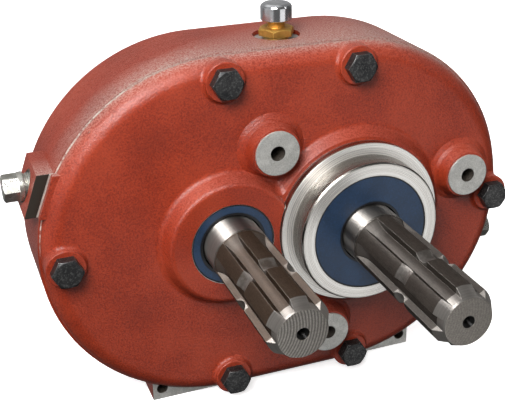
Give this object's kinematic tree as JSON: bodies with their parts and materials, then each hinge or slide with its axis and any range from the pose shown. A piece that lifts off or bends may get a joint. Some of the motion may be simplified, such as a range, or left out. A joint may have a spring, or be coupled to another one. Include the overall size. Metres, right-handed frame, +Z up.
{
  "type": "agricultural gearbox",
  "caption": "Cast gearbox with two parallel splined shafts on one face, a bolted cover, a machined pilot with tapped bosses, a flat base, side plugs and a breather.",
  "frame": {"origin": "middle of the base face, in width and in the depth of the base", "axes": "+Z up from the base, the shafts point along -Y, +X from the pinion shaft to the main shaft"},
  "size_m": [0.3222, 0.208, 0.2371],
  "materials": {
    "cast_red": "satin paint on a grainy casting",
    "gasket_paper": "plain pale gasket sheet",
    "black_steel": "black oxide",
    "pin_steel": "ground",
    "shaft_steel": "oiled steel, ground journals",
    "gear_steel": "hobbed and hardened",
    "spring_steel": "oiled spring steel",
    "seal_rubber": "dark blue moulded rubber",
    "zinc_steel": "zinc plated",
    "brass": "turned brass",
    "chrome": "bright nickel",
    "bearing_steel": "polished bearing steel",
    "cage_steel": "pressed sheet steel"
  },
  "bodies": {
    "housing": {"rear_casing": "cast_red", "front_cover": "cast_red", "joint_gasket": "gasket_paper", "cover_bolts": "black_steel", "dowel_pins": "pin_steel", "bore_circlip": "spring_steel", "pinion_oil_seal_spring": "spring_steel", "main_oil_seal_spring": "spring_steel", "pinion_oil_seal": "seal_rubber", "main_oil_seal": "seal_rubber", "left_plug": "zinc_steel", "right_plug": "zinc_steel", "breather_body": "brass", "breather_cap": "chrome", "main_front_bearing_outer_ring": "bearing_steel", "main_rear_bearing_outer_ring": "bearing_steel", "pinion_front_bearing_outer_ring": "bearing_steel", "pinion_rear_bearing_outer_ring": "bearing_steel"},
    "main_rotor": {"main_shaft": "shaft_steel", "gear_wheel": "gear_steel", "gear_key": "pin_steel", "gear_spacer": "pin_steel", "shaft_circlip": "spring_steel", "main_front_bearing_inner_ring": "bearing_steel", "main_rear_bearing_inner_ring": "bearing_steel"},
    "pinion_rotor": {"pinion_shaft": "shaft_steel", "pinion_front_bearing_inner_ring": "bearing_steel", "pinion_rear_bearing_inner_ring": "bearing_steel"},
    "main_front_bearing_ball_row": {"main_front_bearing_balls": "bearing_steel", "main_front_bearing_cage": "cage_steel"},
    "main_rear_bearing_ball_row": {"main_rear_bearing_balls": "bearing_steel", "main_rear_bearing_cage": "cage_steel"},
    "pinion_front_bearing_ball_row": {"pinion_front_bearing_balls": "bearing_steel", "pinion_front_bearing_cage": "cage_steel"},
    "pinion_rear_bearing_ball_row": {"pinion_rear_bearing_balls": "bearing_steel", "pinion_rear_bearing_cage": "cage_steel"}
  },
  "joints": [
    {"name": "main_shaft_turn", "type": "hinge", "parent": "housing", "child": "main_rotor", "pos_m": [0.04, 0, 0.1095], "axis": [0, 1, 0], "continuous": true},
    {"name": "pinion_shaft_turn", "type": "hinge", "parent": "housing", "child": "pinion_rotor", "pos_m": [-0.04, 0, 0.1095], "axis": [0, 1, 0], "continuous": true},
    {"name": "main_front_cage_turn", "type": "hinge", "parent": "housing", "child": "main_front_bearing_ball_row", "pos_m": [0.04, 0, 0.1095], "axis": [0, 1, 0], "continuous": true},
    {"name": "main_rear_cage_turn", "type": "hinge", "parent": "housing", "child": "main_rear_bearing_ball_row", "pos_m": [0.04, 0, 0.1095], "axis": [0, 1, 0], "continuous": true},
    {"name": "pinion_front_cage_turn", "type": "hinge", "parent": "housing", "child": "pinion_front_bearing_ball_row", "pos_m": [-0.04, 0, 0.1095], "axis": [0, 1, 0], "continuous": true},
    {"name": "pinion_rear_cage_turn", "type": "hinge", "parent": "housing", "child": "pinion_rear_bearing_ball_row", "pos_m": [-0.04, 0, 0.1095], "axis": [0, 1, 0], "continuous": true}
  ],
  "couplings": [
    {"joint": "pinion_shaft_turn", "follows": "main_shaft_turn", "ratio": -2.0476},
    {"joint": "main_front_cage_turn", "follows": "main_shaft_turn", "ratio": 0.39907},
    {"joint": "main_rear_cage_turn", "follows": "main_shaft_turn", "ratio": 0.4},
    {"joint": "pinion_front_cage_turn", "follows": "main_shaft_turn", "ratio": -0.81713},
    {"joint": "pinion_rear_cage_turn", "follows": "main_shaft_turn", "ratio": -0.81905}
  ]
}
